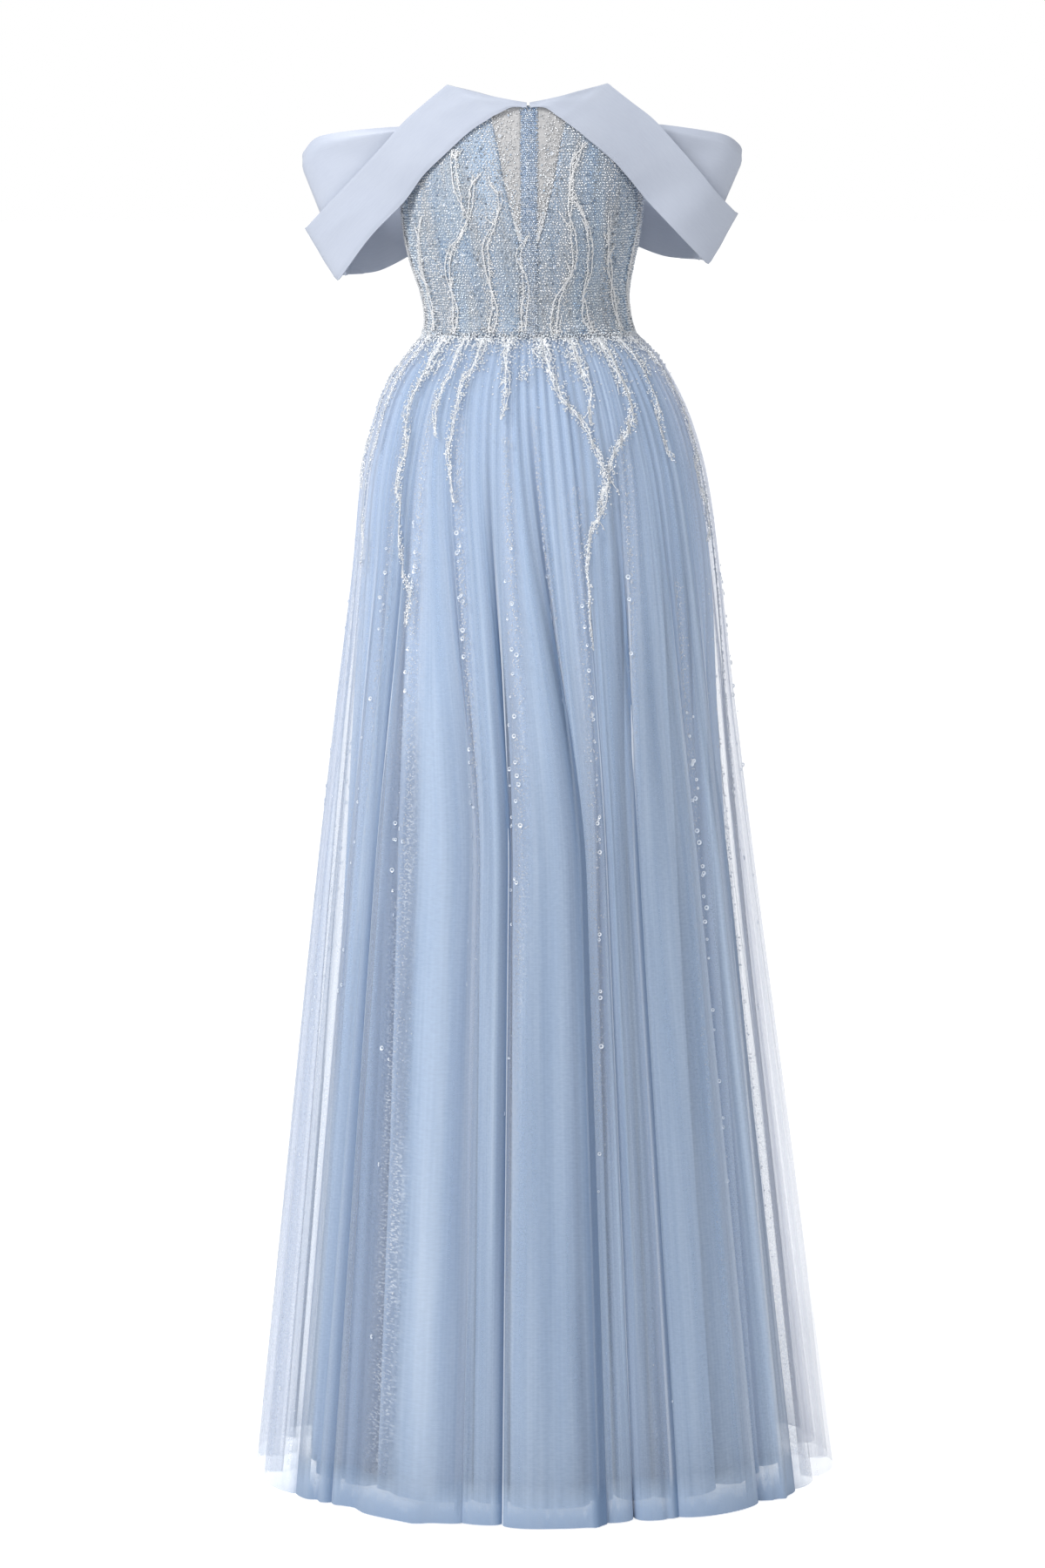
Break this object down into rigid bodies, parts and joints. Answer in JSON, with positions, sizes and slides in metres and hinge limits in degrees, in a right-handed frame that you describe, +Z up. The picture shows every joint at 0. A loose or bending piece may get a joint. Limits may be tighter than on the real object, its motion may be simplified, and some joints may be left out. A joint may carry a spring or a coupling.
{
  "type": "off-the-shoulder ball gown",
  "caption": "Floor-length off-the-shoulder gown: fitted beaded bodice with sheer insets, folded satin collar and sleeve loops, and a gathered sheer overskirt on an opaque skirt",
  "frame": {"origin": "the middle of the waist seam, where the wearer's waist holds the gown up", "axes": "+Z up along the body, +X to the wearer's left, -Y out of the front; metres at real size"},
  "size_m": [0.6145, 0.5216, 1.4602],
  "materials": {
    "beaded_tulle": "tulle closely covered with small glass beads in vertical streaks and corded embroidery",
    "placket_beads": "bluer beads packed into one narrow column",
    "illusion_tulle": "fine sheer net in a pale neutral grey with scattered beads",
    "satin": "smooth doubled satin with a soft sheen",
    "underskirt_cloth": "matt opaque blue lining cloth with glitter and sequins",
    "overskirt_tulle": "sheer soft tulle, gathered in fine pleats"
  },
  "bodies": {
    "root": {"bodice_front_right": "beaded_tulle", "bodice_back_right": "beaded_tulle", "inset_right": "illusion_tulle", "collar_right": "satin", "back_band_right": "satin", "sleeve_right": "satin", "bodice_front_left": "beaded_tulle", "bodice_back_left": "beaded_tulle", "inset_left": "illusion_tulle", "collar_left": "satin", "back_band_left": "satin", "sleeve_left": "satin", "placket": "placket_beads", "underskirt_front": "underskirt_cloth", "overskirt_front": "overskirt_tulle", "underskirt_front_left": "underskirt_cloth", "overskirt_front_left": "overskirt_tulle", "underskirt_left": "underskirt_cloth", "overskirt_left": "overskirt_tulle", "underskirt_back_left": "underskirt_cloth", "overskirt_back_left": "overskirt_tulle", "underskirt_back": "underskirt_cloth", "overskirt_back": "overskirt_tulle", "underskirt_back_right": "underskirt_cloth", "overskirt_back_right": "overskirt_tulle", "underskirt_right": "underskirt_cloth", "overskirt_right": "overskirt_tulle", "underskirt_front_right": "underskirt_cloth", "overskirt_front_right": "overskirt_tulle"}
  },
  "joints": []
}
